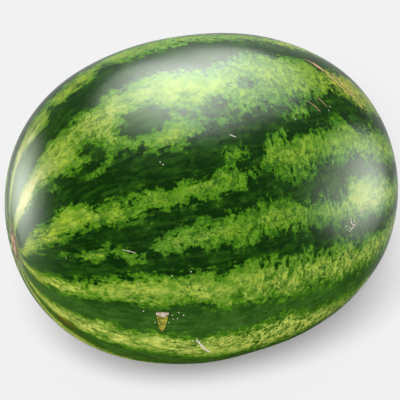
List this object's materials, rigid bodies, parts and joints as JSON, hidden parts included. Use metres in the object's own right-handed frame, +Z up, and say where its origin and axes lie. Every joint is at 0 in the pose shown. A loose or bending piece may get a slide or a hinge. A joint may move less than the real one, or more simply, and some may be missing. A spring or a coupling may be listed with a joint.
{
  "type": "whole watermelon",
  "caption": "Whole oblong striped watermelon lying on its side, with a corky blossom scar at one end and a short dry cut stalk at the other.",
  "frame": {"origin": "on the surface the fruit rests on, under the middle of its bounding box", "axes": "+X along the fruit from the blossom end to the stalk end, +Z up"},
  "size_m": [0.3014, 0.235, 0.2351],
  "materials": {
    "rind": "waxy green rind, deep green stripes between marbled yellow-green bands, soft gloss"
  },
  "bodies": {
    "root": {"watermelon": "rind"}
  },
  "joints": []
}
